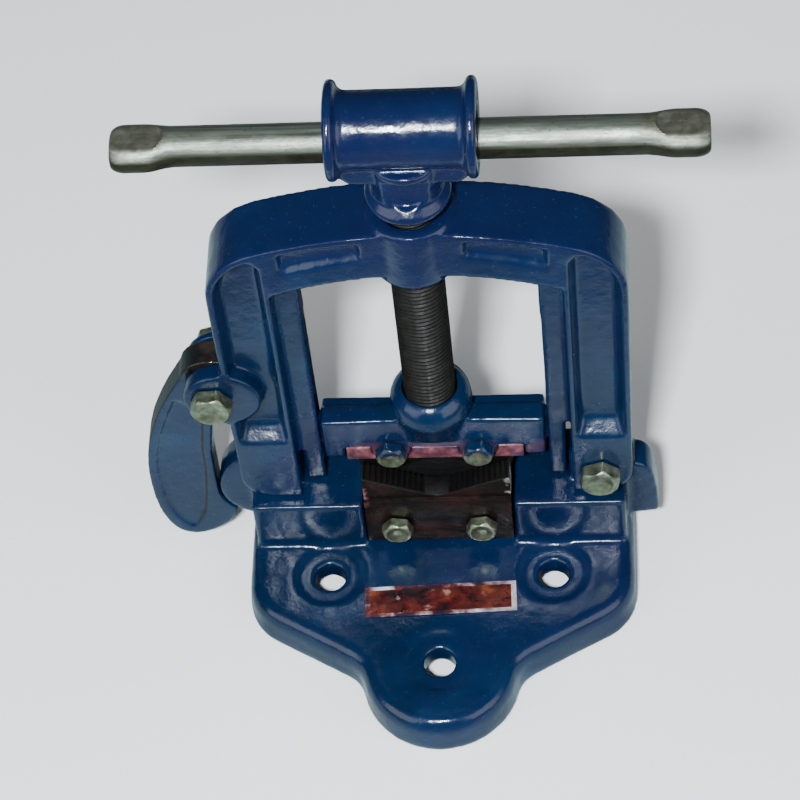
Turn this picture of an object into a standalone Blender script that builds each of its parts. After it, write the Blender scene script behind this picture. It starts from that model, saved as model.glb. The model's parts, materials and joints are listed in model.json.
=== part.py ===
"""Hinged yoke pipe vice, built in metres with +Z up and the pipe along Y.

The origin is on the underside of the base, on the axis of the screw. The base bolts to a bench, the yoke
turns on the right-hand hinge bolt, the hook on the left latches it down, and the screw moves the jaw carrier.
All lengths below are in millimetres.
"""
import math

import bmesh
import bpy
from mathutils import Matrix, Vector

MM = 0.001
GAP = 0.4  # clearance between pieces that meet

# Base casting
PLATE_HALF_X, PLATE_REAR_Y, PLATE_TOP = 69.7, 19.5, 16.0
CORNER_R, SHOULDER_DEG, WAIST_R, LOBE_R = 20.0, 30.0, 12.0, 28.0
CORNER_Y = -31.0
BENCH_HOLES = ((-40.0, -29.5), (40.0, -29.5), (0.0, -65.5))
BENCH_HOLE_R, SPOT_FACE_R, SPOT_FACE_DEPTH = 5.5, 12.5, 1.2
HOLLOW_Z, HOLLOW_INSET, CROSSBAR_FRONT_Y = 6.0, 8.0, -18.0
PLATFORM_HALF_Y, SHELF_X, SHELF_TOP = 16.5, (26.6, 66.5), 39.6
LUG_HALF_Y, LUG_TOP, LUG_OUTER_X = 6.0, 57.5, 78.6
HINGE_LUG_X, LATCH_LUG_X = 46.5, -48.2  # their inner sides
KEEPER_R, KEEPER_BOTTOM = 16.0, 20.0  # round under the latch lug, which the hook bears on
HINGE_X, HINGE_Z = 57.5, 52.0
M8_R, M8_HOLE_R, M8_FLATS, M8_HEAD = 4.0, 4.4, 13.0, 5.3
HINGE_NUT, HINGE_WASHER, HOOK_NUT, HOOK_WASHER = 6.5, 1.6, 4.0, 1.2
M6_R, M6_HOLE_R, M6_FLATS, M6_HEAD, M6_NUT = 3.0, 3.4, 10.0, 4.0, 5.0

# Lower jaw
JAW_HALF_X, JAW_HALF_Y, JAW_BOTTOM, JAW_TOP = 26.0, 17.0, 19.0, 43.5
SADDLE_HALF_Y, SADDLE_TOP = 11.4, 33.5  # web of the base that the jaw sits astride
VEE_PLATE_Y, VEE_LOW, VEE_HIGH = (7.3, 15.4), 43.7, 55.0
TROUGH_LOW, TROUGH_HIGH = 37.5, 44.6
LOWER_BOLT_X, LOWER_BOLT_Z = 15.0, 28.5

# Yoke
YOKE_HALF_Y, YOKE_HALF_X, CROWN_Z, CROWN_R = 12.0, 69.3, 187.0, 163.0
SHOULDER_R = 25.0
LEG_INNER_X, FOOT_Z, KNUCKLE_R = 48.0, 40.4, 11.6
RAIL_X, RAIL_HALF_Y = 39.3, 4.5
ARCH_Z, ARCH_R = 166.0, 123.0
RECESS_X, RECESS_Z, RECESS_DEPTH = (50.0, 66.5), 73.0, 6.2
RECESS_DRAFT, LEDGE_RISE = 1.8, 5.3
PANEL_X, PANEL_TOP, PANEL_LIP, PANEL_DEPTH = (16.5, 43.5), 3.4, 9.5, 2.6  # sunk panels of the crown
SLOT_HALF_Y, SLOT_TOP, SLOT_R = 6.6, 58.3, 22.5
RAIL_SLOT_HALF_Y, RAIL_SLOT_X, RAIL_SLOT_TOP = 2.5, 43.4, 132.0  # groove for the carrier's tongues
YOKE_BOSS_R, YOKE_BOSS_Z = 14.6, (162.0, 188.5)
EAR_X, EAR_Z, EAR_R, EAR_Y = -70.0, 99.5, 13.5, {-1: (5.4, 12.4), 1: (5.4, 8.8)}
NUT_FACE_R = 9.4  # the spot face that the hook bolt's washer sits in

# Latch hook
HOOK_X, HOOK_Z, HOOK_HALF_Y, EYE_R = -73.5, 100.4, 5.0, 12.0
EYE_NOTCH_R = 14.2
HOOK_WEB_DEPTH = 1.1  # how far the web lies below the rim, on both faces
HOOK_WRAP_DEG = 229.0  # how far the hook reaches round the keeper, counted from +X

# Jaw carrier and upper jaw
BAR_HALF_Y, BAR_TOP, BAR_END_TOP, BAR_HALF_X = 6.5, 77.8, 76.9, 38.9
BAR_UNDER, BAR_END_UNDER, BAR_END_X = 61.6, 56.2, 31.5
BAR_STEP_Y, BAR_REAR_TOP = 1.5, 75.4
BAR_TONGUE_X, BAR_TONGUE_HALF_Y, BAR_TONGUE_Z = 42.8, 2.1, (60.0, 74.0)
UPPER_BOLT_X, UPPER_BOLT_Z, BOLT_BOSS_R = 15.2, 60.5, 7.0
CARRIER_BOSS_R, CARRIER_FOOT_R, CARRIER_BOSS_TOP = 14.6, 10.6, 90.6
TONGUE_HALF_Y, TONGUE_TOP = 3.0, 65.8
UPPER_HALF_X, UPPER_HALF_Y, UPPER_TOP, STRIP_UNDER = 31.0, 6.2, 61.2, 54.8
UPPER_VEE_TIP, UPPER_VEE_APEX = (24.5, 46.0), 55.6

# Screw, crosshead and handle
SCREW_R, SCREW_END_Z, SCREW_SHOULDER_Z = 9.0, 75.4, 191.4
GROOVE_R, GROOVE_Z = 6.5, (78.0, 82.0)
STUB_R, STUB_TOP = 5.0, 210.5
KEEP_PIN_R, KEEP_PIN_X, KEEP_PIN_Y = 1.5, 8.3, (-7.5, 11.5)
COLLAR_R, COLLAR_Z, NECK_R, NECK_WIDE_R = 14.2, (193.5, 198.2), 11.6, 12.4
NECK_FACE_X, NECK_FACE_Y, NECK_FACE_Z = 8.4, -9.2, 199.5  # flat sunk into the front of the neck
SADDLE_X, SADDLE_Z, SADDLE_Y = 20.0, (207.5, 216.0), 7.5  # web under the barrel
BARREL_AT, BARREL_R, BARREL_HALF_X, RIM_R, RIM_WIDTH = (1.2, 224.4), 12.7, 23.9, 16.2, 3.4
CROSS_PIN_R, CROSS_PIN_Z, CROSS_PIN_Y = 2.0, 203.5, (-7.0, 9.6)
HANDLE_AT, HANDLE_BORE_AT, HANDLE_BORE_R = (-1.0, 221.4), (0.4, 223.0), 9.0
HANDLE_R, HANDLE_X = 6.5, (-91.4, 95.7)
HANDLE_END_LENGTH, HANDLE_END_HALF_Y, HANDLE_END_HALF_Z = 20.5, 9.6, 5.4

# Label
LABEL_SIZE, LABEL_AT, LABEL_TURN_DEG = (54.0, 12.6, 0.5), (0.0, -40.8), 2.2

COLOURS = {
    "blue_enamel": ((0.012, 0.045, 0.16), 0.0, 0.3),
    "jaw_steel": ((0.05, 0.035, 0.03), 0.8, 0.5),
    "screw_steel": ((0.045, 0.042, 0.03), 0.8, 0.5),
    "zinc_steel": ((0.42, 0.41, 0.34), 0.9, 0.4),
    "bright_steel": ((0.55, 0.53, 0.46), 0.95, 0.32),
    "label_foil": ((0.6, 0.07, 0.03), 0.3, 0.4),
}


def clear_scene():
    for thing in list(bpy.data.objects):
        bpy.data.objects.remove(thing, do_unlink=True)


def material(name):
    """The named finish, made the first time that it is asked for."""
    if name in bpy.data.materials:
        return bpy.data.materials[name]
    made = bpy.data.materials.new(name)
    made.use_nodes = True
    colour, metallic, roughness = COLOURS[name]
    shader = made.node_tree.nodes["Principled BSDF"]
    shader.inputs["Base Color"].default_value = (*colour, 1)
    shader.inputs["Metallic"].default_value = metallic
    shader.inputs["Roughness"].default_value = roughness
    return made


def spread(along, across, level):
    """The point with the two coordinates across the axis and one along it, in metres."""
    first, second = across
    order = {"X": (level, first, second), "Y": (first, level, second), "Z": (first, second, level)}
    return Vector(order[along]) * MM


def loft(name, loops, finish=None):
    """A closed solid through loops that all have the same number of points, capped at both ends."""
    shape = bmesh.new()
    rings = [[shape.verts.new(point) for point in loop] for loop in loops]
    count = len(rings[0])
    for low, high in zip(rings, rings[1:]):
        for i in range(count):
            j = (i + 1) % count
            shape.faces.new((low[i], low[j], high[j], high[i]))
    shape.faces.new(rings[0])
    shape.faces.new(rings[-1])
    bmesh.ops.recalc_face_normals(shape, faces=shape.faces)
    mesh = bpy.data.meshes.new(name)
    shape.to_mesh(mesh)
    shape.free()
    made = bpy.data.objects.new(name, mesh)
    bpy.context.scene.collection.objects.link(made)
    if finish:
        mesh.materials.append(material(finish))
        mesh.shade_smooth()
        mesh.set_sharp_from_angle(angle=math.radians(35))
    else:
        made.hide_render = True
        made.display_type = "WIRE"
    return made


def prism(name, along, outline, low, high, finish=None):
    """An outline, in the two coordinates across an axis, pushed along that axis from low to high."""
    return loft(name, [[spread(along, p, level) for p in outline] for level in (low, high)], finish)


def block(name, low, high, finish=None):
    outline = [(low[0], low[1]), (high[0], low[1]), (high[0], high[1]), (low[0], high[1])]
    return prism(name, "Z", outline, low[2], high[2], finish)


def ring_points(centre, radius, sides, turn=0.0):
    return arc(centre, radius, turn, turn + 360 * (sides - 1) / sides, sides)


def arc(centre, radius, start_deg, end_deg, points):
    """Points of an arc, both ends included."""
    steps = [start_deg + (end_deg - start_deg) * i / (points - 1) for i in range(points)]
    turns = [math.radians(step) for step in steps]
    return [(centre[0] + radius * math.cos(t), centre[1] + radius * math.sin(t)) for t in turns]


def turned(name, along, centre, profile, sides, finish=None):
    """A solid of revolution: the profile is (radius, level) pairs from its low end to its high end."""
    loops = []
    for radius, level in profile:
        loops.append([spread(along, p, level) for p in ring_points(centre, radius, sides)])
    return loft(name, loops, finish)


def rod(name, along, centre, radius, low, high, sides=24, finish=None):
    return turned(name, along, centre, ((radius, low), (radius, high)), sides, finish)


def smooth_curve(points, steps=4):
    """A Catmull-Rom curve through the points, which are kept."""
    ends = [points[0], *points, points[-1]]
    curve = []
    for before, first, second, after in zip(ends, ends[1:], ends[2:], ends[3:]):
        for i in range(steps):
            t = i / steps
            curve.append(tuple(
                0.5 * (2 * b + (c - a) * t + (2 * a - 5 * b + 4 * c - d) * t**2 + (3 * b - a - 3 * c + d) * t**3)
                for a, b, c, d in zip(before, first, second, after)
            ))
    return [*curve, points[-1]]


def mirrored(points):
    """The points followed by their mirror image in x, which closes a symmetrical outline."""
    return [*points, *[(-x, y) for x, y in reversed(points) if x]]


def boolean(target, kind, *others):
    for other in others:
        step = target.modifiers.new(f"{kind.lower()} {other.name}", "BOOLEAN")
        step.operation = kind
        step.solver = "EXACT"
        step.object = other


def add(target, *others):
    boolean(target, "UNION", *others)


def cut(target, *others):
    boolean(target, "DIFFERENCE", *others)


# ---------------------------------------------------------------- base


def plate_outline(inset):
    """Half of the plate seen from above, pulled in by inset: square at the back, with a round lobe in front."""
    lean = math.radians(SHOULDER_DEG)
    along = Vector((-math.cos(lean), -math.sin(lean)))
    outward = Vector((math.sin(lean), -math.cos(lean)))
    corner = Vector((PLATE_HALF_X - CORNER_R, CORNER_Y))
    lobe = Vector(BENCH_HOLES[2])
    start = corner + outward * (CORNER_R + WAIST_R) - lobe
    reach = LOBE_R + WAIST_R
    middle = start.dot(along)
    travel = -middle - math.sqrt(middle**2 - start.length_squared + reach**2)
    waist = corner + outward * (CORNER_R + WAIST_R) + along * travel
    lobe_turn = math.degrees(math.atan2(waist.y - lobe.y, waist.x - lobe.x))
    right = [(PLATE_HALF_X - inset, PLATE_REAR_Y - inset)]
    right += arc(corner, CORNER_R - inset, 0, SHOULDER_DEG - 90, 7)
    right += arc(waist, WAIST_R + inset, 90 + SHOULDER_DEG, 180 + lobe_turn, 6)
    right += arc(lobe, LOBE_R - inset, lobe_turn, -90, 10)
    return mirrored(right)


def plate():
    rounding = ((0.0, 0.6), (2.0, 0.0), (11.5, 0.7), (14.3, 1.9), (PLATE_TOP, 4.2))
    loops = [[spread("Z", p, level) for p in plate_outline(inset)] for level, inset in rounding]
    return loft("base_casting", loops, "blue_enamel")


def hinge_lug():
    """The lug that the yoke's right foot straddles: round over the hinge bolt, straight on its outer side."""
    outer = smooth_curve([(69.6, 47.6), (73.2, 46.4), (75.6, 42.5), (76.9, 36), (77.8, 27), (78.2, 17.5)])
    outline = [(HINGE_LUG_X, 12), *arc((HINGE_X, HINGE_Z), HINGE_X - HINGE_LUG_X, 180, 0, 13)]
    return prism("hinge_lug", "Y", outline + outer + [(70, 16.6), (60, 12)], -LUG_HALF_Y, LUG_HALF_Y)


def latch_lug():
    """The lug under the hook's tip, mirrored to the left side."""
    keeper = arc((KEEPER_R - LUG_OUTER_X, KEEPER_BOTTOM + KEEPER_R), KEEPER_R, 180, 270, 9)
    top = smooth_curve([(-60, LUG_TOP), (-68, 56.5), (-74.5, 50), (-78, 42), keeper[0]])
    outline = [(LATCH_LUG_X, 12), (LATCH_LUG_X, LUG_TOP), *top[:-1], *keeper]
    return prism("latch_lug", "Y", outline, -LUG_HALF_Y, LUG_HALF_Y)


def base_casting():
    base = plate()
    hollow = prism("under_hollow", "Z", plate_outline(HOLLOW_INSET), -1, HOLLOW_Z)
    cut(base, hollow)
    half = PLATFORM_HALF_Y
    add(base, block("crossbar", (-64, CROSSBAR_FRONT_Y, 0), (64, 15, 12)))
    for side in (-1, 1):
        name = "left" if side < 0 else "right"
        shelf = sorted(side * x for x in SHELF_X)
        add(base, block(f"shelf_{name}", (shelf[0], -half, 8), (shelf[1], half, SHELF_TOP)))
    saddle = block("saddle", (-30, -SADDLE_HALF_Y, 8), (30, SADDLE_HALF_Y, SADDLE_TOP))
    add(base, saddle, hinge_lug(), latch_lug())
    for i, hole in enumerate(BENCH_HOLES):
        face = PLATE_TOP - SPOT_FACE_DEPTH
        cut(base, rod(f"spot_face_{i}", "Z", hole, SPOT_FACE_R, face, 30, 32))
        cut(base, rod(f"bench_hole_{i}", "Z", hole, BENCH_HOLE_R, -2, 30))
    for side in (-1, 1):
        hole = (side * LOWER_BOLT_X, LOWER_BOLT_Z)
        cut(base, rod(f"saddle_hole_{side}", "Y", hole, M6_HOLE_R, -20, 20, 16))
    cut(base, rod("hinge_lug_hole", "Y", (HINGE_X, HINGE_Z), M8_HOLE_R, -20, 20))
    return base


def label_plate():
    long, wide, thick = LABEL_SIZE
    base_level = PLATE_TOP + 0.3
    turn = math.radians(LABEL_TURN_DEG)
    corners = []
    for x, y in ((-long / 2, -wide / 2), (long / 2, -wide / 2), (long / 2, wide / 2), (-long / 2, wide / 2)):
        corners.append((
            LABEL_AT[0] + x * math.cos(turn) - y * math.sin(turn),
            LABEL_AT[1] + x * math.sin(turn) + y * math.cos(turn),
        ))
    return prism("label_plate", "Z", corners, base_level, base_level + thick, "label_foil")


# ---------------------------------------------------------------- fasteners


def hex_outline(centre, flats, turn=0.0):
    return ring_points(centre, flats / math.sqrt(3), 6, turn)


def hex_bolt(name, centre, face_y, end_y, radius, flats, head, turn=0.0):
    """A bolt along Y whose head bears on the front face at face_y."""
    bolt = prism(name, "Y", hex_outline(centre, flats, turn), face_y - head, face_y, "zinc_steel")
    add(bolt, rod(f"{name}_shank", "Y", centre, radius, face_y - head / 2, end_y, 16))
    return bolt


def ring(name, centre, outline, low, high, hole_r):
    made = prism(name, "Y", outline, low, high, "zinc_steel")
    cut(made, rod(f"{name}_bore", "Y", centre, hole_r, low - 2, high + 2, 16))
    return made


def hex_nut(name, centre, face_y, hole_r, flats, height):
    return ring(name, centre, hex_outline(centre, flats, 12), face_y, face_y + height, hole_r)


def washer(name, centre, face_y, thick):
    return ring(name, centre, ring_points(centre, 8.0, 24), face_y, face_y + thick, M8_HOLE_R)


def jaw_fasteners(prefix, across, level, half_y):
    """The two bolts and nuts that hold a jaw, side by side."""
    made = []
    for side, word in ((-1, "left"), (1, "right")):
        centre = (side * across, level)
        face = half_y + 0.3
        end = face + M6_NUT + 1.5
        made.append(hex_bolt(f"{prefix}_bolt_{word}", centre, -face, end, M6_R, M6_FLATS, M6_HEAD, 10 * side))
        made.append(hex_nut(f"{prefix}_nut_{word}", centre, face, M6_HOLE_R, M6_FLATS, M6_NUT))
    return made


def pivot_fasteners(prefix, centre, front, rear, thick, height, turn):
    """The bolt, washer and nut of a pivot that runs through the yoke from its front face to its rear face."""
    face = rear + 0.3
    nut_face = face + thick + 0.3
    bolt = hex_bolt(f"{prefix}_bolt", centre, front - 0.3, nut_face + height + 0.8, M8_R, M8_FLATS, M8_HEAD, turn)
    nut = hex_nut(f"{prefix}_nut", centre, nut_face, M8_HOLE_R, M8_FLATS, height)
    return [bolt, washer(f"{prefix}_washer", centre, face, thick), nut]


# ---------------------------------------------------------------- jaws


def vee(tip_x, tip_z, low_z, round_x=4.0):
    """The open line of a rounded vee from its left tip to its right tip."""
    slope = (tip_z - low_z) / tip_x
    blend = low_z + slope * round_x
    right = [(0.0, low_z + slope * round_x * 0.45), (round_x, blend), (tip_x, tip_z)]
    return [(-x, z) for x, z in reversed(right) if x] + right


def lower_jaw():
    inner = SADDLE_HALF_Y + GAP
    roof = SADDLE_TOP + GAP
    section = [
        (-JAW_HALF_Y, JAW_BOTTOM), (-inner, JAW_BOTTOM), (-inner, roof), (inner, roof), (inner, JAW_BOTTOM),
        (JAW_HALF_Y, JAW_BOTTOM), (JAW_HALF_Y, JAW_TOP), (-JAW_HALF_Y, JAW_TOP),
    ]
    jaw = prism("lower_jaw", "X", section, -JAW_HALF_X, JAW_HALF_X, "jaw_steel")
    foot = JAW_TOP - 2
    vee_plate = [(-JAW_HALF_X, foot), *vee(JAW_HALF_X, VEE_HIGH, VEE_LOW), (JAW_HALF_X, foot)]
    for side in (-1, 1):
        low, high = sorted(side * y for y in VEE_PLATE_Y)
        add(jaw, prism(f"vee_plate_{side}", "Y", vee_plate, low, high))
    reach = JAW_HALF_X + 2
    trough = [*vee(reach, TROUGH_HIGH, TROUGH_LOW), (reach, 70), (-reach, 70)]
    cut(jaw, prism("trough", "Y", trough, -VEE_PLATE_Y[0], VEE_PLATE_Y[0]))
    for side in (-1, 1):
        hole = (side * LOWER_BOLT_X, LOWER_BOLT_Z)
        cut(jaw, rod(f"lower_jaw_hole_{side}", "Y", hole, M6_HOLE_R, -20, 20, 16))
    return jaw


def upper_jaw():
    tip_x, tip_z = UPPER_VEE_TIP
    outline = [
        (-UPPER_HALF_X, UPPER_TOP), (-UPPER_HALF_X, STRIP_UNDER), (-tip_x - 3, STRIP_UNDER), (-tip_x - 1, tip_z),
        *[(x, UPPER_VEE_APEX + tip_z - z) for x, z in vee(tip_x, UPPER_VEE_APEX, tip_z)],
        (tip_x + 1, tip_z), (tip_x + 3, STRIP_UNDER), (UPPER_HALF_X, STRIP_UNDER), (UPPER_HALF_X, UPPER_TOP),
    ]
    jaw = prism("upper_jaw", "Y", outline, -UPPER_HALF_Y, UPPER_HALF_Y, "jaw_steel")
    low = (-UPPER_HALF_X, -TONGUE_HALF_Y, UPPER_TOP - 2)
    add(jaw, block("tongue", low, (UPPER_HALF_X, TONGUE_HALF_Y, TONGUE_TOP)))
    for side in (-1, 1):
        bolt = (side * UPPER_BOLT_X, UPPER_BOLT_Z)
        for face in (-1, 1):
            low, high = sorted((face * TONGUE_HALF_Y, face * 10))
            room = rod(f"boss_room_{side}_{face}", "Y", bolt, BOLT_BOSS_R + GAP, low, high, 28)
            cut(jaw, room)
        cut(jaw, rod(f"upper_jaw_hole_{side}", "Y", bolt, M6_HOLE_R, -10, 10, 16))
    return jaw


# ---------------------------------------------------------------- yoke


def yoke_outline():
    """The yoke seen from the front: crowned top, round shoulders, two legs open at the bottom."""
    shoulder_x = YOKE_HALF_X - SHOULDER_R
    crown_centre = CROWN_Z - CROWN_R
    lean = math.degrees(math.asin(shoulder_x / (CROWN_R - SHOULDER_R)))
    shoulder_z = crown_centre + (CROWN_R - SHOULDER_R) * math.cos(math.radians(lean))
    outer = arc((0, crown_centre), CROWN_R, 90, 90 - lean, 7)[:-1]
    outer += arc((shoulder_x, shoulder_z), SHOULDER_R, 90 - lean, 0, 10)
    arch_turn = math.degrees(math.asin(LEG_INNER_X / ARCH_R))
    arch = arc((0, ARCH_Z - ARCH_R), ARCH_R, 90 - arch_turn, 90, 9)
    foot = [*arc((HINGE_X, HINGE_Z), KNUCKLE_R, 0, -90, 8), (LEG_INNER_X, FOOT_Z)]
    right = [*outer, *foot, *arch]
    return [*right, *[(-x, z) for x, z in reversed(right[1:-1])]]


def recess_outline(side, inset, sill):
    """The sunk panel in a leg: straight sides, round shoulder, level sill."""
    left, right = RECESS_X[0] + inset, RECESS_X[1] - inset
    shoulder_x = YOKE_HALF_X - SHOULDER_R
    centre = (shoulder_x, CROWN_Z - SHOULDER_R - 7.5)
    radius = right - shoulder_x
    top_turn = math.degrees(math.acos((left + 3 - shoulder_x) / radius))
    bend = arc(centre, radius, 0, top_turn, 7)
    points = [(left, sill), (right, sill), *bend, (left, bend[-1][1] - 4)]
    return [(side * x, z) for x, z in points]


def leg_recess(side, face):
    """A drafted cutter for one panel, wide at the face of the leg and smaller at its floor."""
    outside = face * (YOKE_HALF_Y + 1)
    level = face * YOKE_HALF_Y
    floor = face * (YOKE_HALF_Y - RECESS_DEPTH)
    stages = (
        (outside, -0.4, RECESS_Z - 2), (level, 0.0, RECESS_Z), (floor, RECESS_DRAFT, RECESS_Z + LEDGE_RISE),
    )
    loops = [[spread("Y", p, y) for p in recess_outline(side, inset, sill)] for y, inset, sill in stages]
    return loft(f"leg_recess_{side}_{face}", loops)


def crown_panel(side, face):
    """A drafted cutter for the shallow panel in the crown, from the boss to the shoulder."""
    outside = face * (YOKE_HALF_Y + 1)
    level = face * YOKE_HALF_Y
    floor = face * (YOKE_HALF_Y - PANEL_DEPTH)
    loops = []
    for y, inset, rise in ((outside, -0.4, -0.8), (level, 0.0, 0.0), (floor, 1.0, 2.2)):
        low_x, high_x = PANEL_X[0] + inset, PANEL_X[1] - inset
        steps = [low_x + (high_x - low_x) * i / 6 for i in range(7)]
        under = [(x, ARCH_Z - ARCH_R + math.sqrt(ARCH_R**2 - x * x) + PANEL_LIP + rise) for x in steps]
        over = [(x, CROWN_Z - CROWN_R + math.sqrt(CROWN_R**2 - x * x) - PANEL_TOP - inset) for x in steps]
        loops.append([spread("Y", (side * x, z), y) for x, z in [*under, *reversed(over)]])
    return loft(f"crown_panel_{side}_{face}", loops)


def foot_slot(side):
    """Room between the cheeks of a foot for the lug of the base."""
    if side < 0:
        return block("foot_slot_left", (-85, -SLOT_HALF_Y, 20), (LATCH_LUG_X + 1.1, SLOT_HALF_Y, SLOT_TOP))
    inner = HINGE_LUG_X - 0.5
    sweep = arc((HINGE_X, HINGE_Z), SLOT_R, 120, 0, 13)
    outline = [(inner, 20), (inner, sweep[0][1]), *sweep, (90, HINGE_Z), (90, 20)]
    return prism("foot_slot_right", "Y", outline, -SLOT_HALF_Y, SLOT_HALF_Y)


def yoke_frame():
    yoke = prism("yoke_frame", "Y", yoke_outline(), -YOKE_HALF_Y, YOKE_HALF_Y, "blue_enamel")
    for side in (-1, 1):
        for face in (-1, 1):
            cut(yoke, leg_recess(side, face), crown_panel(side, face))
        rail_x = sorted((side * RAIL_X, side * (LEG_INNER_X + 2)))
        rail = block(f"rail_{side}", (rail_x[0], -RAIL_HALF_Y, FOOT_Z), (rail_x[1], RAIL_HALF_Y, 163))
        add(yoke, rail)
    for face in (-1, 1):
        low, high = sorted((face * (EAR_Y[face][0] - 2), face * EAR_Y[face][1]))
        add(yoke, rod(f"ear_{face}", "Y", (EAR_X, EAR_Z), EAR_R, low, high, 30))
    add(yoke, rod("yoke_boss", "Z", (0, 0), YOKE_BOSS_R, *YOKE_BOSS_Z, 40))
    cut(yoke, foot_slot(-1), foot_slot(1))
    for side in (-1, 1):
        groove = sorted((side * (RAIL_X - 2), side * RAIL_SLOT_X))
        half = RAIL_SLOT_HALF_Y
        cut(yoke, block(f"rail_slot_{side}", (groove[0], -half, 30), (groove[1], half, RAIL_SLOT_TOP)))
    cut(yoke, rod("eye_notch", "Y", (HOOK_X, HOOK_Z), EYE_NOTCH_R, -EAR_Y[-1][0], EAR_Y[1][0], 32))
    cut(yoke, rod("nut_spot_face", "Y", (HOOK_X, HOOK_Z), NUT_FACE_R, EAR_Y[1][1], 20, 32))
    cut(yoke, rod("hook_bolt_hole", "Y", (HOOK_X, HOOK_Z), M8_HOLE_R, -20, 20))
    cut(yoke, rod("hinge_hole", "Y", (HINGE_X, HINGE_Z), M8_HOLE_R, -20, 20))
    cut(yoke, rod("screw_thread_bore", "Z", (0, 0), SCREW_R + GAP, 150, 200, 32))
    return yoke


def latch_hook():
    """A wide hook that hangs from its eye and wraps under the round keeper of the base."""
    outer = smooth_curve([
        (-85.3, 102.5), (-92.3, 89), (-98.4, 73), (-102.2, 56), (-103.1, 40), (-101.9, 23), (-98, 11.6), (-91.7, 7.2),
        (-85, 8.6), (-79, 13), (-74.6, 19),
    ])
    keeper = (KEEPER_R - LUG_OUTER_X, KEEPER_BOTTOM + KEEPER_R)
    wrap = arc(keeper, KEEPER_R + 0.6, HOOK_WRAP_DEG, 180, 8)
    inner = smooth_curve([(-79.2, 46), (-78.6, 60), (-76.8, 74), (-74.5, 87)])
    eye = arc((HOOK_X, HOOK_Z), EYE_R, -75, 150, 18)
    hook = prism("latch_hook", "Y", [*outer, *wrap, *inner, *eye], -HOOK_HALF_Y, HOOK_HALF_Y, "blue_enamel")
    web_outer = smooth_curve([
        (-88.2, 91), (-94.9, 73), (-98.9, 56), (-99.8, 40), (-98.5, 25), (-95.0, 15.5), (-91.2, 11.5), (-88.6, 14),
    ])
    web_inner = smooth_curve([(-85.2, 22), (-83.8, 32), (-82.3, 46), (-81.8, 60), (-80.2, 74), (-79.6, 84)])
    for side in (-1, 1):
        low, high = sorted((side * (HOOK_HALF_Y - HOOK_WEB_DEPTH), side * 10))
        cut(hook, prism(f"web_room_{side}", "Y", [*web_outer, *web_inner], low, high))
    cut(hook, rod("eye_hole", "Y", (HOOK_X, HOOK_Z), M8_HOLE_R, -10, 10))
    return hook


# ---------------------------------------------------------------- carrier and screw


def jaw_carrier():
    """The crossbar whose end tongues run in the yoke's rails, with the end of the screw in its boss."""
    right = [
        (0, BAR_TOP), (BAR_HALF_X, BAR_END_TOP), (BAR_HALF_X, BAR_END_UNDER), (BAR_END_X, BAR_END_UNDER),
        (BAR_END_X, BAR_UNDER),
    ]
    outline = [*right, *[(-x, z) for x, z in reversed(right[1:])]]
    carrier = prism("jaw_carrier", "Y", outline, -BAR_HALF_Y, BAR_HALF_Y, "blue_enamel")
    cut(carrier, block("rear_step", (-50, BAR_STEP_Y, BAR_REAR_TOP), (50, 10, 90)))
    low, high = BAR_TONGUE_Z
    guide = (BAR_TONGUE_X, BAR_TONGUE_HALF_Y)
    add(carrier, block("guide_tongues", (-guide[0], -guide[1], low), (guide[0], guide[1], high)))
    top = CARRIER_BOSS_TOP
    boss = (
        (CARRIER_FOOT_R, BAR_UNDER), (CARRIER_FOOT_R, 70.0), (CARRIER_BOSS_R - 1.8, 77.0), (CARRIER_BOSS_R, 82.0),
        (CARRIER_BOSS_R - 0.6, top - 4.0), (CARRIER_BOSS_R - 2.2, top - 1.6), (CARRIER_BOSS_R - 4.2, top),
    )
    add(carrier, turned("carrier_boss", "Z", (0, 0), boss, 40))
    for side in (-1, 1):
        bolt = (side * UPPER_BOLT_X, UPPER_BOLT_Z)
        add(carrier, rod(f"bolt_boss_{side}", "Y", bolt, BOLT_BOSS_R, -BAR_HALF_Y, BAR_HALF_Y, 28))
    room = TONGUE_HALF_Y + GAP
    cut(carrier, block("tongue_slot", (-BAR_END_X, -room, 50), (BAR_END_X, room, TONGUE_TOP + GAP)))
    for side in (-1, 1):
        bolt = (side * UPPER_BOLT_X, UPPER_BOLT_Z)
        cut(carrier, rod(f"carrier_bolt_hole_{side}", "Y", bolt, M6_HOLE_R, -10, 10, 16))
        pin = (side * KEEP_PIN_X, sum(GROOVE_Z) / 2)
        cut(carrier, rod(f"keep_pin_hole_{side}", "Y", pin, KEEP_PIN_R + GAP, KEEP_PIN_Y[0] - GAP, 20, 16))
    cut(carrier, rod("screw_socket", "Z", (0, 0), SCREW_R + GAP, SCREW_END_Z - GAP, 100, 32))
    return carrier


def keep_pins():
    """Two pins that run beside the neck of the screw's groove, so that the carrier follows the screw."""
    made = []
    for side, word in ((-1, "left"), (1, "right")):
        centre = (side * KEEP_PIN_X, sum(GROOVE_Z) / 2)
        made.append(rod(f"screw_keep_pin_{word}", "Y", centre, KEEP_PIN_R, *KEEP_PIN_Y, 16, "zinc_steel"))
    return made


def screw_spindle():
    low, high = GROOVE_Z
    profile = (
        (SCREW_R - 1.5, SCREW_END_Z), (SCREW_R, SCREW_END_Z + 1.5), (SCREW_R, low), (GROOVE_R, low), (GROOVE_R, high),
        (SCREW_R, high), (SCREW_R, SCREW_SHOULDER_Z), (STUB_R, SCREW_SHOULDER_Z), (STUB_R, STUB_TOP),
    )
    spindle = turned("screw_spindle", "Z", (0, 0), profile, 32, "screw_steel")
    cut(spindle, rod("spindle_cross_hole", "Y", (0, CROSS_PIN_Z), CROSS_PIN_R + GAP, -20, 20, 16))
    return spindle


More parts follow.
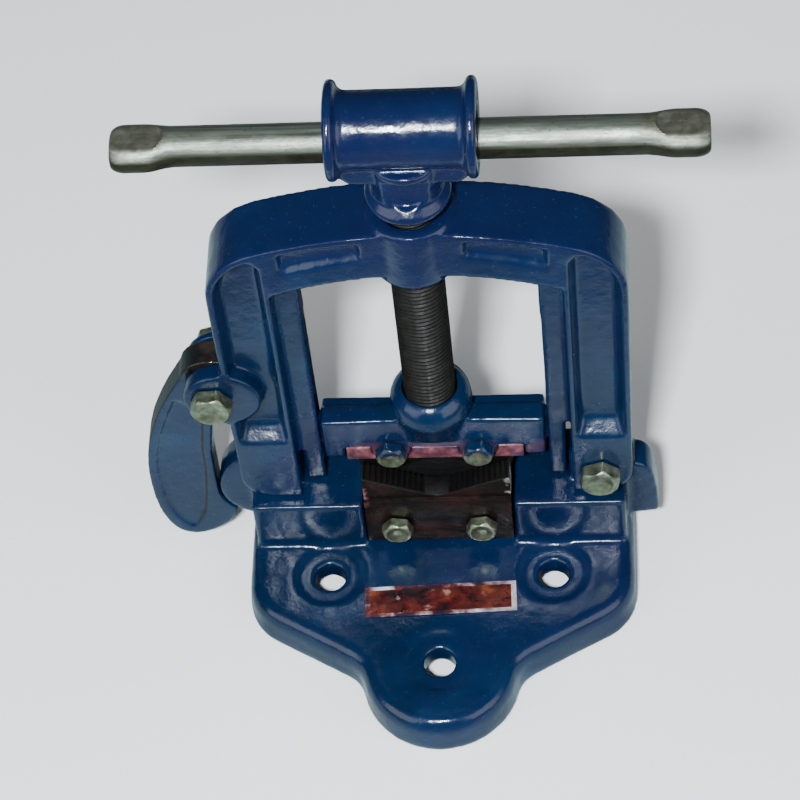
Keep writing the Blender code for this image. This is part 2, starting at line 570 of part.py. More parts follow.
def crosshead():
    """The tee on top of the screw: a barrel for the handle on a web, a neck with a flat front and a collar."""
    inner_x = BARREL_HALF_X - RIM_WIDTH
    half = (
        (BARREL_R, inner_x - 2.2), (BARREL_R + 0.9, inner_x - 0.6), (RIM_R - 0.5, inner_x), (RIM_R, inner_x + 0.7),
        (RIM_R, BARREL_HALF_X - 0.9), (RIM_R - 1.2, BARREL_HALF_X),
    )
    profile = [(r, -x) for r, x in reversed(half)] + list(half)
    head = turned("crosshead", "X", BARREL_AT, profile, 40, "blue_enamel")
    low, high = COLLAR_Z
    neck = (
        (COLLAR_R - 1.5, low), (COLLAR_R, low + 1.5), (COLLAR_R, high - 1.2), (COLLAR_R - 1.2, high),
        (NECK_R + 1.2, high), (NECK_R, high + 1.4), (NECK_R, high + 7), (NECK_WIDE_R, high + 17),
    )
    add(head, turned("neck", "Z", (0, 0), neck, 40))
    low_z, high_z = SADDLE_Z
    web = [
        (-SADDLE_X, high_z), (-SADDLE_X, low_z + 2.5), (-SADDLE_X + 2.5, low_z), (SADDLE_X - 2.5, low_z),
        (SADDLE_X, low_z + 2.5), (SADDLE_X, high_z),
    ]
    add(head, prism("barrel_web", "Y", web, -SADDLE_Y, SADDLE_Y))
    round_end = arc((0, NECK_FACE_Z + NECK_FACE_X), NECK_FACE_X, 180, 360, 12)
    flat = [(NECK_FACE_X, BARREL_AT[1] - BARREL_R), (-NECK_FACE_X, BARREL_AT[1] - BARREL_R), *round_end]
    cut(head, prism("neck_flat", "Y", flat, -30, NECK_FACE_Y))
    cut(head, rod("handle_bore", "X", HANDLE_BORE_AT, HANDLE_BORE_R, -40, 40, 32))
    cut(head, rod("stub_socket", "Z", (0, 0), STUB_R + GAP, low - 5, STUB_TOP + GAP, 24))
    pin_room = CROSS_PIN_R + GAP
    cut(head, rod("neck_cross_hole", "Y", (0, CROSS_PIN_Z), pin_room, CROSS_PIN_Y[0] - GAP, 20, 16))
    return head


def handle_bar():
    """A round bar whose ends are forged wide and flat so that it can't fall out of the crosshead."""
    left, right = HANDLE_X
    swell = ((0.0, 0.55), (0.04, 0.85), (0.14, 1.0), (0.55, 1.0), (0.85, 0.45), (1.0, 0.0))
    stations = [(left + HANDLE_END_LENGTH * t, share, t < 0.1) for t, share in swell]
    stations += [(right - HANDLE_END_LENGTH * t, share, t < 0.1) for t, share in reversed(swell)]
    loops = []
    for x, share, tip in stations:
        if tip:
            half_y, half_z = HANDLE_END_HALF_Y * share, HANDLE_END_HALF_Z * share
        else:
            half_y = HANDLE_R + (HANDLE_END_HALF_Y - HANDLE_R) * share
            half_z = HANDLE_R + (HANDLE_END_HALF_Z - HANDLE_R) * share
        section = [(HANDLE_AT[0] + half_y * y, HANDLE_AT[1] + half_z * z) for y, z in ring_points((0, 0), 1, 28)]
        loops.append([spread("X", p, x) for p in section])
    return loft("handle_bar", loops, "bright_steel")


# ---------------------------------------------------------------- assembly


def joint_empty(name, point, parent=None):
    empty = bpy.data.objects.new(name, None)
    bpy.context.scene.collection.objects.link(empty)
    empty.empty_display_size = 0.02
    place = Vector(point) * MM
    empty["place"] = tuple(place)
    empty.parent = parent
    empty.location = place - Vector(parent["place"]) if parent else place
    return empty


def hang(pieces, empty):
    """Puts each piece, and the helpers of its Booleans, under a joint's empty with its origin on the joint."""
    for piece in pieces:
        helpers = [step.object for step in piece.modifiers]
        for thing in [piece, *helpers]:
            thing.data.transform(Matrix.Translation(-Vector(empty["place"])))
            thing.parent = empty


def build():
    clear_scene()
    hinge = joint_empty("yoke_hinge", (HINGE_X, 0, HINGE_Z))
    hook_pivot = joint_empty("hook_swing", (HOOK_X, 0, HOOK_Z), hinge)
    slide = joint_empty("carrier_slide", (0, 0, CARRIER_BOSS_TOP), hinge)
    screw = joint_empty("screw_turn", (0, 0, SCREW_END_Z), slide)
    handle = joint_empty("handle_slide", (0, *HANDLE_AT), screw)
    base_casting()
    label_plate()
    lower_jaw()
    jaw_fasteners("lower_jaw", LOWER_BOLT_X, LOWER_BOLT_Z, JAW_HALF_Y)
    pivot_fasteners("hinge", (HINGE_X, HINGE_Z), -YOKE_HALF_Y, YOKE_HALF_Y, HINGE_WASHER, HINGE_NUT, 20)
    ears = (-EAR_Y[-1][1], EAR_Y[1][1])
    hang([yoke_frame(), *pivot_fasteners("hook", (HOOK_X, HOOK_Z), *ears, HOOK_WASHER, HOOK_NUT, 5)], hinge)
    hang([latch_hook()], hook_pivot)
    upper_fasteners = jaw_fasteners("upper_jaw", UPPER_BOLT_X, UPPER_BOLT_Z, BAR_HALF_Y)
    hang([jaw_carrier(), upper_jaw(), *upper_fasteners, *keep_pins()], slide)
    cross_pin = rod("crosshead_pin", "Y", (0, CROSS_PIN_Z), CROSS_PIN_R, *CROSS_PIN_Y, 16, "zinc_steel")
    hang([screw_spindle(), crosshead(), cross_pin], screw)
    hang([handle_bar()], handle)


build()
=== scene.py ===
"""Looks of the hinged yoke pipe vice: rounded castings in glossy enamel, serrated jaws, a real thread,
forged handle ends and chamfered bolts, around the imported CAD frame. Lengths are in metres."""
import json
import math
import random

import bmesh
import bpy
from mathutils import Matrix, Vector


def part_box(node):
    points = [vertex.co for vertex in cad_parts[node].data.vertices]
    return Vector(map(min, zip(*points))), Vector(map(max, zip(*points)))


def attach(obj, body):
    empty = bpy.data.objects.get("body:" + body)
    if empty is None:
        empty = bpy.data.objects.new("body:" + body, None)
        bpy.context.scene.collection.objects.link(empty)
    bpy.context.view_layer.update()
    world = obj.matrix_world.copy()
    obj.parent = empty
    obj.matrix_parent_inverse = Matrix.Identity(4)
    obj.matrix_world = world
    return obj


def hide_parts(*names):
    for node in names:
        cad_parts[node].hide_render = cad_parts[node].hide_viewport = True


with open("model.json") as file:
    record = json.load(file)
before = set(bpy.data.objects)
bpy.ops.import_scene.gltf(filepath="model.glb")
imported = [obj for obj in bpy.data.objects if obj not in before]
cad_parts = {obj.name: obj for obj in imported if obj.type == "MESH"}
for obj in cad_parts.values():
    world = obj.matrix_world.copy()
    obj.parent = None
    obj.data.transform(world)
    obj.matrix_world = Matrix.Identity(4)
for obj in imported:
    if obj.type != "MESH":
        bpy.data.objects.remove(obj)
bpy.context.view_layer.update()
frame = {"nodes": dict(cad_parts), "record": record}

BODY_OF = {node: body for body, nodes in frame["record"]["behaviour"]["bodies"].items() for node in nodes}
SLOT_OF = {part["node"]: part["material_slot"] for part in frame["record"]["subparts"]}

# Camera: a long lens close to three quarters above, tipped a little anticlockwise
VIEW_AZIMUTH, VIEW_ELEVATION, VIEW_ROLL = 7.29, 54.2, 7.13
VIEW_DISTANCE, VIEW_LENS, VIEW_AIM = 1.134, 146.3, (-0.01146, 0.00488, 0.0745)
LAMP_AIM = (0, 0, 0.1)

THREAD_LEAD = 2 * math.pi * frame["record"]["behaviour"]["couplings"][1]["ratio"]
THREAD_STARTS = 2
SERRATION_PITCH, SERRATION_DEPTH = 0.0021, 0.0011
LOWER_TEETH = (
    ((-0.0255, 0.0548), (-0.004, 0.04544), 1),
    ((0.004, 0.04544), (0.0255, 0.0548), 1),
)
UPPER_TEETH = (
    ((-0.0243, 0.0461), (-0.004, 0.05403), -1),
    ((0.004, 0.05403), (0.0243, 0.0461), -1),
)
LOWER_CUT_Y, UPPER_CUT_Y = 0.0145, 0.0075  # half lengths of the grooves
LOWER_HALF_Y, VEE_LOW_Z, VEE_SLOPE = 0.0134, 0.036, 0.25  # where the lower jaw's faces are teeth, coloured near black as painted shade
UPPER_TOOTH_TOP = 0.0549  # the upper jaw's primed strip starts here

# Castings: voxel size and rounds of smoothing for each, and the (size, height) of the waves in their skin
CASTINGS = {
    "base_casting": (0.0009, 12), "yoke_frame": (0.0008, 12), "jaw_carrier": (0.0006, 14),
    "crosshead": (0.0006, 12), "latch_hook": (0.0006, 8),
}
SKIN_WAVES = ((0.018, 0.00028), (0.004, 0.00014))
WELD_GAP = 1e-6
PRIMER_TOP = 0.066  # the enamel of the carrier thins below this height
HOOK_WORN_Z = 0.103  # the top of the hook is worn to bare iron above this height
BAR_HALF_Y, FOOT_SPREAD = 0.0065, 0.0045
FOOT_LOW, FOOT_TOP, FOOT_HALF_X, FOOT_ROUNDS = 0.0655, 0.0700, 0.0085, 12

# Fasteners: across flats, shank radius, head height, nut bore radius
M6, M8 = (0.010, 0.003, 0.004, 0.0034), (0.013, 0.004, 0.0053, 0.0044)
M6_PITCH, M8_PITCH = 0.0011, 0.00125
NUT_TURN = 12
PAINT_LINE = {"left": 0.0612, "right": 0.0622}  # the blue on the upper jaw's bolt heads ends here

# Screw
CREST_R, ROOT_DEPTH, GROOVE_R, STUB_R = 0.009, 0.0008, 0.0065, 0.005
GROOVE_Z, THREAD_Z, SHOULDER_Z = (0.078, 0.082), (0.0835, 0.1904), 0.1914
RING_POINTS, RINGS_PER_TURN = 56, 24

# Handle: round bar, and ends that a die pressed flat
BAR_R, BAR_Y, BAR_Z = 0.0065, -0.001, 0.2214
FORGED_LENGTH, FORGED_STATIONS = 0.0205, 64
FORGED_HALF_Y, FORGED_HALF_Z, FORGED_FLAT = 0.0086, 0.0060, 0.0050

# Label
LABEL_LONG, LABEL_WIDE, LABEL_BORDER, LABEL_TURN = 0.0538, 0.0124, 0.0013, math.radians(2.2)
LABEL_CELLS = (60, 18)


# ---------------------------------------------------------------- materials


class Shader:
    """A Principled material with short calls for the nodes that feed it."""

    def __init__(self, name, metallic, roughness, **sockets):
        self.material = bpy.data.materials.new(name)
        self.material.use_nodes = True
        self.tree = self.material.node_tree
        self.bsdf = self.tree.nodes["Principled BSDF"]
        self.bsdf.inputs["Metallic"].default_value = metallic
        self.bsdf.inputs["Roughness"].default_value = roughness
        for socket, value in sockets.items():
            self.bsdf.inputs[socket.replace("_", " ")].default_value = value
        self.coords = self.tree.nodes.new("ShaderNodeTexCoord").outputs["Object"]

    def node(self, kind, **settings):
        made = self.tree.nodes.new(kind)
        for name, value in settings.items():
            setattr(made, name, value)
        return made

    def link(self, out, into):
        self.tree.links.new(out, into)

    def noise(self, scale, detail=4.0, rough=0.55, stretch=(1, 1, 1)):
        """Noise with about this many swells a metre, from 0 to 1."""
        placed = self.node("ShaderNodeMapping")
        placed.inputs["Scale"].default_value = stretch
        self.link(self.coords, placed.inputs["Vector"])
        made = self.node("ShaderNodeTexNoise")
        made.inputs["Scale"].default_value = scale
        made.inputs["Detail"].default_value = detail
        made.inputs["Roughness"].default_value = rough
        self.link(placed.outputs["Vector"], made.inputs["Vector"])
        return made.outputs["Fac"]

    def axis(self, name):
        """The place along X, Y or Z, in metres."""
        split = self.node("ShaderNodeSeparateXYZ")
        self.link(self.coords, split.inputs["Vector"])
        return split.outputs[name]

    def facing(self, name):
        """How far the surface faces along X, Y or Z, from -1 to 1."""
        split = self.node("ShaderNodeSeparateXYZ")
        self.link(self.node("ShaderNodeTexCoord").outputs["Normal"], split.inputs["Vector"])
        return split.outputs[name]

    def rise(self, value, start, end):
        """0 where the value is at start, 1 where it has reached end."""
        made = self.node("ShaderNodeMapRange")
        made.inputs["From Min"].default_value = start
        made.inputs["From Max"].default_value = end
        self.link(value, made.inputs["Value"])
        return made.outputs["Result"]

    def math_node(self, operation, *values):
        """A Math node on one or two values: here MULTIPLY, MAXIMUM or ABSOLUTE."""
        made = self.node("ShaderNodeMath", operation=operation)
        for value, socket in zip(values, made.inputs):
            self.link(value, socket)
        return made.outputs["Value"]

    def times(self, first, second):
        return self.math_node("MULTIPLY", first, second)

    def ramp(self, value, *stops):
        """A colour ramp with stops (place, colour)."""
        made = self.node("ShaderNodeValToRGB")
        points = made.color_ramp.elements
        while len(points) < len(stops):
            points.new(0.5)
        for point, (place, colour) in zip(points, stops):
            point.position = place
            point.color = (*colour, 1)
        self.link(value, made.inputs["Fac"])
        return made.outputs["Color"]

    def grey(self, value, *stops):
        """A ramp with stops (place, shade), for a factor."""
        return self.ramp(value, *[(place, (shade, shade, shade)) for place, shade in stops])

    def mix(self, factor, first, second):
        """The first at factor 0, the second at factor 1; each is a socket or a plain value."""
        made = self.node("ShaderNodeMix", data_type="RGBA")
        for value, socket in ((factor, made.inputs[0]), (first, made.inputs[6]), (second, made.inputs[7])):
            if isinstance(value, (int, float)):
                socket.default_value = value
            elif isinstance(value, tuple):
                socket.default_value = (*value, 1)
            else:
                self.link(value, socket)
        return made.outputs[2]

    def bumps(self, *layers):
        """Layers of (height, depth in metres), the coarse one first."""
        normal = None
        for height, depth in layers:
            bump = self.node("ShaderNodeBump")
            bump.inputs["Strength"].default_value = 1.0
            bump.inputs["Distance"].default_value = depth
            self.link(height, bump.inputs["Height"])
            if normal:
                self.link(normal, bump.inputs["Normal"])
            normal = bump.outputs["Normal"]
        self.link(normal, self.bsdf.inputs["Normal"])

    def colour(self, source):
        self.link(source, self.bsdf.inputs["Base Color"])

    def roughness(self, source):
        self.link(source, self.bsdf.inputs["Roughness"])


def enamel(name="blue_enamel", worn_above=None, primer_below=None):
    """Thick blue brushed enamel over rough iron: glossy, uneven, thin and dark in the hollows.

    Above the height worn_above it has rubbed through to dark oily iron, and the side that faces -X is painted
    darker and rougher as painted shade.
    Below the height primer_below it thins over pink primer in patches.
    """
    s = Shader(name, 0.0, 0.25, IOR=1.45, Specular_IOR_Level=0.4)
    deep, plain, thin = (0.0008, 0.0066, 0.024), (0.0010, 0.0100, 0.034), (0.0016, 0.0165, 0.050)
    tone = s.ramp(s.noise(38, 3), (0.32, deep), (0.55, plain), (0.75, thin))
    violet = s.grey(s.noise(21, 2, 0.5), (0.48, 0.0), (0.70, 0.6))
    tone = s.mix(violet, tone, (0.0040, 0.0062, 0.034))
    # Painted shade: from Z 0.160 up, over the crown and the crosshead, the blue turns a little darker and
    # more violet, for the cast its top faces take in the light.
    crown_painted_tint = s.grey(s.rise(s.axis("Z"), 0.160, 0.182), (0.0, 0.0), (1.0, 0.55))
    tone = s.mix(crown_painted_tint, tone, (0.0050, 0.0070, 0.036))
    specks = s.grey(s.noise(900, 2, 0.6), (0.66, 0.0), (0.74, 1.0))
    tone = s.mix(specks, tone, (0.005, 0.03, 0.07))
    gloss = s.grey(s.noise(120, 4), (0.3, 0.14), (0.7, 0.28))
    if worn_above:
        edge = s.rise(s.axis("Z"), worn_above, worn_above + 0.004)
        iron = s.ramp(s.noise(150, 4), (0.35, (0.004, 0.0035, 0.004)), (0.7, (0.026, 0.020, 0.016)))
        tone = s.mix(edge, tone, iron)
        # Painted shade: the side that faces -X is darker and rougher, for the dark outer rim of the hook.
        outer_side_shade = s.rise(s.facing("X"), -0.25, -0.6)
        tone = s.mix(outer_side_shade, tone, (0.0025, 0.0042, 0.0050))
        gloss = s.mix(outer_side_shade, gloss, (0.55, 0.55, 0.55))
    if primer_below:
        low = s.rise(s.axis("Z"), primer_below, primer_below - 0.006)
        patch = s.grey(s.noise(85, 2), (0.44, 0.0), (0.62, 0.8))
        tone = s.mix(s.times(low, patch), tone, (0.10, 0.035, 0.055))
    s.colour(tone)
    s.roughness(gloss)
    s.bumps((s.noise(60, 2), 0.0002), (s.noise(210, 3, 0.6), 0.00017), (s.noise(700, 3, 0.6), 0.00005))
    return s.material


def zinc():
    """Dull zinc plate with a yellow-green cast."""
    s = Shader("zinc_steel", 0.9, 0.36)
    dark, plain, light = (0.09, 0.105, 0.065), (0.20, 0.23, 0.155), (0.40, 0.42, 0.32)
    s.colour(s.ramp(s.noise(260, 4), (0.3, dark), (0.55, plain), (0.8, light)))
    s.roughness(s.grey(s.noise(500, 4), (0.3, 0.26), (0.75, 0.5)))
    s.bumps((s.noise(600, 4), 0.00012))
    return s.material


def bright_bar():
    """Plated bar drawn lengthwise, with fine streaks along X, small pits and a dark olive painted shade on
    its underside.

    The flats pressed into the tops of its ends have lost their plate and are dull and mottled.
    """
    s = Shader("bright_steel", 0.8, 0.45)
    streak = s.noise(90, 5, 0.7, (0.12, 4, 4))
    dark, plain, light = (0.075, 0.084, 0.064), (0.145, 0.162, 0.135), (0.26, 0.285, 0.245)
    tone = s.ramp(streak, (0.34, dark), (0.52, plain), (0.70, light))
    on_end = s.rise(s.math_node("ABSOLUTE", s.axis("X")), 0.0735, 0.0755)
    facet = s.times(on_end, s.rise(s.axis("Z"), 0.2257, 0.2261))
    mottle = s.grey(s.noise(330, 3), (0.4, 0.0), (0.6, 1.0))
    tone = s.mix(facet, tone, s.mix(mottle, (0.105, 0.105, 0.078), (0.15, 0.15, 0.115)))
    pits = s.grey(s.noise(700, 3, 0.6), (0.28, 1.0), (0.36, 0.0))
    tone = s.mix(pits, tone, (0.07, 0.07, 0.05))
    # Painted shade: below Z 0.2230 the bar is dark olive, fading back to its plate up to Z 0.2244.
    deep_oil_and_shade, shade_pale = (0.016, 0.018, 0.009), (0.045, 0.048, 0.03)
    underside_shade = s.ramp(s.noise(200, 4, 0.6, (0.5, 1, 1)), (0.35, deep_oil_and_shade), (0.7, shade_pale))
    s.colour(s.mix(s.rise(s.axis("Z"), 0.2244, 0.2230), tone, underside_shade))
    s.roughness(s.grey(s.noise(240, 4, 0.6, (0.3, 2, 2)), (0.3, 0.40), (0.7, 0.58)))
    s.bumps((s.noise(160, 3), 0.0004), (streak, 0.00012))
    return s.material


def dark_thread():
    """Oiled dark steel with a faint olive sheen on the crests."""
    s = Shader("screw_steel", 0.2, 0.55, Specular_IOR_Level=0.2)
    deep_oil_and_shade = ((0.3, (0.0015, 0.0015, 0.001)), (0.6, (0.0045, 0.0042, 0.003)), (0.85, (0.014, 0.0132, 0.010)))
    s.colour(s.ramp(s.noise(220, 4), *deep_oil_and_shade))
    s.roughness(s.grey(s.noise(400, 3), (0.3, 0.42), (0.7, 0.65)))
    s.bumps((s.noise(700, 4), 0.00012))
    return s.material


def jaw_black():
    """Blackened jaw steel with brown and red-brown patches; painted highlights on the top of its ends: bright
    steel on the right, partly scraped metal, and pink on the left.
    """
    s = Shader("jaw_steel", 0.3, 0.45, Specular_IOR_Level=0.25)
    dark, plain, brown = (0.0022, 0.0018, 0.0016), (0.0055, 0.0026, 0.0022), (0.020, 0.0058, 0.005)
    tone = s.ramp(s.noise(75, 4), (0.32, dark), (0.52, plain), (0.75, brown))
    patch = s.grey(s.noise(180, 2), (0.46, 0.0), (0.60, 1.0))
    upper = s.rise(s.axis("Z"), 0.0395, 0.0440)
    # Partly scraped steel and partly painted highlight: a bright patch over the top of the jaw's right end.
    right_glint_and_scrape = s.times(s.rise(s.axis("X"), 0.0236, 0.0252), s.times(patch, upper))
    tone = s.mix(right_glint_and_scrape, tone, (0.36, 0.35, 0.33))
    # Painted highlight: a pink patch over the top of the jaw's left end.
    left_pink_glint = s.times(s.rise(s.axis("X"), -0.0215, -0.0255), s.times(patch, upper))
    tone = s.mix(left_pink_glint, tone, (0.20, 0.075, 0.075))
    s.colour(tone)
    s.roughness(s.grey(s.noise(300, 4), (0.3, 0.32), (0.7, 0.55)))
    s.bumps((s.noise(130, 3), 0.0004), (s.noise(800, 4), 0.00015))
    return s.material


def teeth_shade_black():
    """Teeth coloured nearly black: painted shade for the dark gap between the jaws."""
    s = Shader("jaw_teeth_painted_shade", 0.4, 0.5)
    s.colour(s.ramp(s.noise(160, 4), (0.4, (0.0015, 0.0015, 0.0015)), (0.7, (0.004, 0.0035, 0.0035))))
    s.bumps((s.noise(500, 4), 0.0002))
    return s.material


def red_steel():
    """Upper jaw: the same steel under a worn pink-brown primer, with blue brushed over its ends."""
    s = Shader("jaw_primer", 0.25, 0.42)
    dark, brown = (0.04, 0.012, 0.02), (0.10, 0.026, 0.038)
    pink, chalky = (0.20, 0.07, 0.085), (0.40, 0.25, 0.27)
    tone = s.ramp(s.noise(150, 3), (0.34, dark), (0.46, brown), (0.58, pink), (0.70, chalky))
    blue = s.grey(s.noise(130, 2), (0.50, 0.0), (0.68, 1.0))
    s.colour(s.mix(blue, tone, (0.012, 0.02, 0.075)))
    s.bumps((s.noise(200, 4), 0.0004))
    return s.material


def foil():
    """Creased red foil with orange and dark patches and pale flecks, with no lettering."""
    s = Shader("label_foil", 0.2, 0.35)
    dark, brown = (0.006, 0.002, 0.004), (0.045, 0.004, 0.0035)
    red, orange = (0.085, 0.011, 0.006), (0.15, 0.044, 0.013)
    tone = s.ramp(s.noise(150, 3, 0.6, (0.7, 1, 1)), (0.36, dark), (0.46, brown), (0.56, red), (0.68, orange))
    pink = s.grey(s.noise(260, 2, 0.5, (0.8, 1.2, 1)), (0.64, 0.0), (0.72, 0.7))
    s.colour(s.mix(pink, tone, (0.30, 0.17, 0.15)))
    s.roughness(s.grey(s.noise(200, 3), (0.3, 0.22), (0.7, 0.45)))
    s.bumps((s.noise(120, 3), 0.0012))
    return s.material


def foil_border():
    """Silver edge of the foil, worn through to red and blue in places and cleanest at its right end."""
    s = Shader("label_border", 0.3, 0.35)
    dark, red, dull, silver = (0.02, 0.008, 0.02), (0.10, 0.02, 0.02), (0.26, 0.18, 0.20), (0.66, 0.60, 0.64)
    tone = s.ramp(s.noise(150, 3), (0.40, dark), (0.48, red), (0.56, dull), (0.68, silver))
    clean = s.rise(s.axis("X"), 0.015, 0.027)
    s.colour(s.mix(s.times(clean, s.grey(s.noise(210, 2), (0.4, 0.3), (0.6, 1.0))), tone, (0.50, 0.45, 0.48)))
    s.bumps((s.noise(150, 3), 0.0010))
    return s.material


def floor_paint():
    """Pale paint that gloss sees darker, most of all under the vice, so that polish keeps its contrast."""
    s = Shader("floor_paint", 0.0, 0.7)
    pale = s.ramp(s.noise(3, 2), (0.3, (0.86, 0.86, 0.85)), (0.7, (0.90, 0.90, 0.89)))
    in_gloss = s.node("ShaderNodeLightPath").outputs["Is Glossy Ray"]
    front = s.rise(s.axis("Y"), -0.03, -0.055)
    far = s.rise(s.axis("Y"), -0.135, -0.105)
    beside = s.rise(s.math_node("ABSOLUTE", s.axis("X")), 0.062, 0.074)
    clear = s.times(s.math_node("MAXIMUM", front, beside), far)
    sheen = s.mix(clear, (0.04, 0.04, 0.035), (0.38, 0.48, 0.48))
    s.colour(s.mix(in_gloss, pale, sheen))
    return s.material


LOOK = {
    "blue_enamel": enamel(), "zinc_steel": zinc(), "bright_steel": bright_bar(), "screw_steel": dark_thread(),
    "jaw_steel": jaw_black(), "label_foil": foil(), "teeth_shade_black": teeth_shade_black(),
}


# ---------------------------------------------------------------- mesh helpers


def ease(t):
    """0 up to t = 0 and 1 from t = 1, with a soft rise between them."""
    t = min(1.0, max(0.0, t))
    return t * t * (3 - 2 * t)


def into_mesh(shape, mesh):
    """Writes a bmesh into a mesh and frees it."""
    shape.to_mesh(mesh)
    shape.free()
    return mesh


def link_object(name, data):
    made = bpy.data.objects.new(name, data)
    bpy.context.scene.collection.objects.link(made)
    return made


def link_mesh(name, mesh, look, smooth=True, sharp_deg=35):
    made = link_object(name, mesh)
    mesh.materials.clear()
    mesh.materials.append(look)
    if smooth:
        mesh.shade_smooth()
        mesh.set_sharp_from_angle(angle=math.radians(sharp_deg))
    return made


def loops_mesh(name, loops, look, closed_ring=False, sharp_deg=35):
    """A solid lofted through loops of equal length: capped, or with its last loop joined to its first."""
    shape = bmesh.new()
    rings = [[shape.verts.new(point) for point in loop] for loop in loops]
    pairs = list(zip(rings, rings[1:]))
    if closed_ring:
        pairs.append((rings[-1], rings[0]))
    count = len(rings[0])
    for low, high in pairs:
        for i in range(count):
            j = (i + 1) % count
            shape.faces.new((low[i], low[j], high[j], high[i]))
    if not closed_ring:
        shape.faces.new(rings[0])
        shape.faces.new(rings[-1])
    bmesh.ops.recalc_face_normals(shape, faces=shape.faces)
    return link_mesh(name, into_mesh(shape, bpy.data.meshes.new(name)), look, True, sharp_deg)


def finished(piece):
    """The piece with its modifiers worked into its mesh."""
    bpy.context.view_layer.update()
    graph = bpy.context.evaluated_depsgraph_get()
    mesh = bpy.data.meshes.new_from_object(piece.evaluated_get(graph))
    piece.modifiers.clear()
    piece.data = mesh
    return piece


def stand_for(piece, node):
    """The piece takes the place and the body of a CAD node."""
    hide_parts(node)
    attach(piece, BODY_OF[node])
    return piece


def copy_of(node, name, look):
    """A new piece with the mesh of a CAD node."""
    return link_mesh(name, frame["nodes"][node].data.copy(), look, False)


def add_weld(piece):
    """Joins the doubled vertices of a CAD mesh."""
    piece.modifiers.new("weld", "WELD").merge_threshold = WELD_GAP


# ---------------------------------------------------------------- castings


def rough_cast(node, voxel, rounds):
    """The CAD casting with its edges rounded as in a sand casting and a slightly uneven skin."""
    piece = copy_of(node, f"{node}_cast", LOOK["blue_enamel"])
    add_weld(piece)
    remesh = piece.modifiers.new("remesh", "REMESH")
    remesh.mode = "VOXEL"
    remesh.voxel_size = voxel
    smooth = piece.modifiers.new("smooth", "SMOOTH")
    smooth.factor = 0.5
    smooth.iterations = rounds
    for size, strength in SKIN_WAVES:
        clouds = bpy.data.textures.new(f"{node}_{size}", "CLOUDS")
        clouds.noise_scale = size
        skin = piece.modifiers.new("skin", "DISPLACE")
        skin.texture = clouds
        skin.texture_coords = "LOCAL"
        skin.mid_level = 0.75
        skin.strength = strength
    finished(piece)
    low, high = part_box(node)
    for vertex in piece.data.vertices:
        vertex.co = [min(high[i], max(low[i], vertex.co[i])) for i in range(3)]
    piece.data.shade_smooth()
    return stand_for(piece, node)


def undercut_boss(mesh):
    """Draws the foot of the carrier's boss back to the face of the bar, so that it ends above the jaw."""
    shape = bmesh.new()
    shape.from_mesh(mesh)
    foot = [vertex for vertex in shape.verts if vertex.co.z < FOOT_TOP and abs(vertex.co.x) < FOOT_HALF_X]
    for vertex in foot:
        reach = BAR_HALF_Y + FOOT_SPREAD * ease((vertex.co.z - FOOT_LOW) / (FOOT_TOP - FOOT_LOW))
        vertex.co.y = max(-reach, min(reach, vertex.co.y))
    every_axis = {"use_axis_x": True, "use_axis_y": True, "use_axis_z": True}
    for _ in range(FOOT_ROUNDS):
        bmesh.ops.smooth_vert(shape, verts=foot, factor=0.5, **every_axis)
    into_mesh(shape, mesh)


def castings():
    """The enamelled castings, with a paint of their own on the carrier and the hook."""
    for node, (voxel, rounds) in CASTINGS.items():
        piece = rough_cast(node, voxel, rounds)
        if node == "jaw_carrier":
            piece.data.materials[0] = enamel("carrier_enamel", primer_below=PRIMER_TOP)
            undercut_boss(piece.data)
        if node == "latch_hook":
            # The hook's enamel also carries painted shade on its side that faces -X.
            piece.data.materials[0] = enamel("hook_enamel", worn_above=HOOK_WORN_Z)


# ---------------------------------------------------------------- fasteners


def hex_radius(turn_deg, flats):
    return flats / 2 / math.cos(math.radians((turn_deg % 60) - 30))


def hex_loop(centre, y, flats, limit, turn, sides=72):
    """A hexagon in XZ whose corners are cut back to a circle of radius limit."""
    points = []
    for i in range(sides):
        step = 360 * i / sides
        reach = min(hex_radius(step, flats), limit)
        angle = math.radians(step + turn)
        points.append(Vector((centre.x + reach * math.cos(angle), y, centre.z + reach * math.sin(angle))))
    return points


def round_loop(centre, y, radius, sides=72):
    steps = [2 * math.pi * i / sides for i in range(sides)]
    return [Vector((centre.x + radius * math.cos(t), y, centre.z + radius * math.sin(t))) for t in steps]


def axis_of(node):
    """The box of a bolt or a nut along Y, and the middle of it."""
    low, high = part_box(node)
    return low, high, Vector(((low.x + high.x) / 2, 0, (low.z + high.z) / 2))


def head_loops(centre, front, flats, head, turn):
    """A hexagon head from its shallow dished face at front to its bearing face, with chamfered corners."""
    corner = flats / math.sqrt(3)
    dish = ((0.10, 0.0009), (0.24, 0.0008), (0.33, 0.0002), (0.39, 0.0))
    chamfer = ((0.82, 0.0), (0.865, 0.12), (0.90, 0.25), (0.93, 0.38), (0.955, 0.5), (0.97, 0.75))
    loops = [round_loop(centre, front + depth, flats * share) for share, depth in dish]
    for share, depth in chamfer:
        loops.append(hex_loop(centre, front + depth * 0.0022, flats, corner * share, turn))
    loops.append(hex_loop(centre, front + head - 0.0003, flats, corner * 0.975, turn))
    loops.append(hex_loop(centre, front + head, flats - 0.0006, corner, turn))
    return loops


def rolled_loops(centre, end, radius, pitch):
    """The last 12 mm of a shank, with rolled grooves up to a chamfered tip at end."""
    loops = [round_loop(centre, end - 0.012, radius)]
    for i in range(int(0.0105 / pitch)):
        at = end - 0.0115 + i * pitch
        loops.append(round_loop(centre, at, radius))
        loops.append(round_loop(centre, at + pitch * 0.5, radius * 0.86))
    loops.append(round_loop(centre, end - 0.0006, radius))
    loops.append(round_loop(centre, end, radius * 0.8))
    return loops


def bolt_look(node, size, pitch, turn):
    """A hexagon bolt along Y, with its head in front."""
    flats, radius, head, _ = size
    low, high, centre = axis_of(node)
    loops = head_loops(centre, low.y, flats, head, turn)
    loops.append(round_loop(centre, low.y + head, radius))
    loops += rolled_loops(centre, high.y, radius, pitch)
    return stand_for(loops_mesh(f"{node}_turned", loops, LOOK["zinc_steel"], sharp_deg=30), node)


